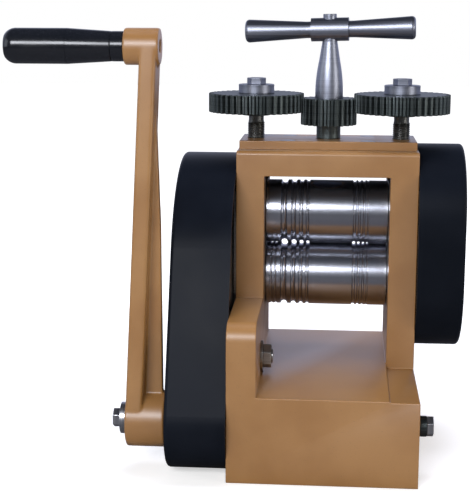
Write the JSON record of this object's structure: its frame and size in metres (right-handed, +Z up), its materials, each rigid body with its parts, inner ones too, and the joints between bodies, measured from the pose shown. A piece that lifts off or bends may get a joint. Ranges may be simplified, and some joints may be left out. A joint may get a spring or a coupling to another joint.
{
  "type": "jeweller's rolling mill",
  "caption": "Hand-cranked bench rolling mill: cast frame, grooved rolls, gear train under covers, geared pressing screws turned by a T-handle.",
  "frame": {"origin": "bench face of the base, straight below the rolls' axes and half way along the window", "axes": "+X to the right along the rolls, +Y away from the user, +Z up; the crank is on the left, at -X"},
  "size_m": [0.4368, 0.3029, 0.4372],
  "materials": {
    "cast_paint": "hammered gold-brown paint on casting",
    "cover_paint": "satin black paint",
    "roll_steel": "hardened, ground and polished",
    "top_gear_steel": "oiled, cut teeth",
    "bright_steel": "bright plated",
    "machined_steel": "turned and oiled",
    "fastener_steel": "zinc plated",
    "block_iron": "machined",
    "bronze": "machined bronze",
    "grip_plastic": "gloss black, moulded"
  },
  "bodies": {
    "frame": {"mill_frame": "cast_paint", "top_cap": "cast_paint", "cap_screws": "fastener_steel", "drive_gear_cover": "cover_paint", "roll_gear_cover": "cover_paint", "cover_screws": "fastener_steel", "lower_block_left": "block_iron", "lower_block_right": "block_iron", "lower_bushes": "bronze", "block_keepers": "machined_steel", "keeper_screws": "fastener_steel", "lift_springs": "machined_steel", "crank_bush_left": "bronze", "crank_bush_right": "bronze", "idler_stud": "machined_steel", "stud_clip": "machined_steel", "idler_washer": "machined_steel", "idler_nut": "machined_steel", "handle_bush": "bronze"},
    "carriage": {"upper_block_left": "block_iron", "upper_block_right": "block_iron", "upper_bushes": "bronze", "thrust_pads": "machined_steel"},
    "left_pressing_screw": {"left_screw": "machined_steel", "left_top_gear": "top_gear_steel", "left_collar": "bright_steel", "left_screw_bolt": "bright_steel"},
    "right_pressing_screw": {"right_screw": "machined_steel", "right_top_gear": "top_gear_steel", "right_collar": "bright_steel", "right_screw_bolt": "bright_steel"},
    "t_handle": {"handle_spindle": "bright_steel", "handle_pinion": "top_gear_steel", "spindle_ring_nut": "bright_steel", "crossbar_arms": "bright_steel", "handle_lock_screw": "bright_steel"},
    "lower_roll_unit": {"lower_roll": "roll_steel", "roll_drive_gear": "machined_steel", "roll_drive_nut": "machined_steel", "lower_roll_gear": "machined_steel", "lower_end_washer": "machined_steel", "lower_end_bolt": "machined_steel"},
    "upper_roll_unit": {"upper_roll": "roll_steel", "upper_roll_gear": "machined_steel", "upper_end_washer": "machined_steel", "upper_end_bolt": "machined_steel"},
    "idler": {"idler_pinion": "machined_steel", "idler_gear": "machined_steel", "idler_bush": "bronze"},
    "crank": {"crankshaft": "machined_steel", "crank_pinion": "machined_steel", "crank_arm": "cast_paint", "crank_bolt": "fastener_steel", "crank_washer": "fastener_steel", "tail_washer": "fastener_steel", "tail_bolt": "fastener_steel", "grip_spindle": "fastener_steel", "grip_ferrule": "fastener_steel"},
    "grip": {"grip_sleeve": "grip_plastic", "grip_end": "grip_plastic"}
  },
  "joints": [
    {"name": "t_handle_turn", "type": "hinge", "parent": "frame", "child": "t_handle", "pos_m": [0, 0, 0.4215], "axis": [0, 0, 1], "range_deg": [0, 1575]},
    {"name": "carriage_lift", "type": "slide", "parent": "frame", "child": "carriage", "axis": [0, 0, 1], "range_m": [0, 0.005], "deforming": ["lift_springs"]},
    {"name": "left_screw_turn", "type": "hinge", "parent": "carriage", "child": "left_pressing_screw", "pos_m": [-0.07425, 0, 0.3475], "axis": [0, 0, 1], "range_deg": [-900, 0]},
    {"name": "right_screw_turn", "type": "hinge", "parent": "carriage", "child": "right_pressing_screw", "pos_m": [0.07425, 0, 0.3475], "axis": [0, 0, 1], "range_deg": [-900, 0]},
    {"name": "lower_roll_turn", "type": "hinge", "parent": "frame", "child": "lower_roll_unit", "pos_m": [0, 0, 0.17], "axis": [1, 0, 0], "continuous": true},
    {"name": "upper_roll_turn", "type": "hinge", "parent": "carriage", "child": "upper_roll_unit", "pos_m": [0, 0, 0.2355], "axis": [1, 0, 0], "continuous": true},
    {"name": "idler_turn", "type": "hinge", "parent": "frame", "child": "idler", "pos_m": [-0.1, -0.08865, 0.1032], "axis": [1, 0, 0], "continuous": true},
    {"name": "crank_turn", "type": "hinge", "parent": "frame", "child": "crank", "pos_m": [0, -0.13188, 0.04942], "axis": [1, 0, 0], "continuous": true},
    {"name": "grip_turn", "type": "hinge", "parent": "crank", "child": "grip", "pos_m": [-0.25, -0.13188, 0.40742], "axis": [1, 0, 0], "continuous": true}
  ],
  "couplings": [
    {"joint": "t_handle_turn", "follows": "carriage_lift", "rad_per_m": 5497.8},
    {"joint": "left_screw_turn", "follows": "carriage_lift", "rad_per_m": -3141.6},
    {"joint": "right_screw_turn", "follows": "carriage_lift", "rad_per_m": -3141.6},
    {"joint": "upper_roll_turn", "follows": "lower_roll_turn", "ratio": -1},
    {"joint": "idler_turn", "follows": "lower_roll_turn", "ratio": -3.625},
    {"joint": "crank_turn", "follows": "lower_roll_turn", "ratio": 4.7125}
  ]
}
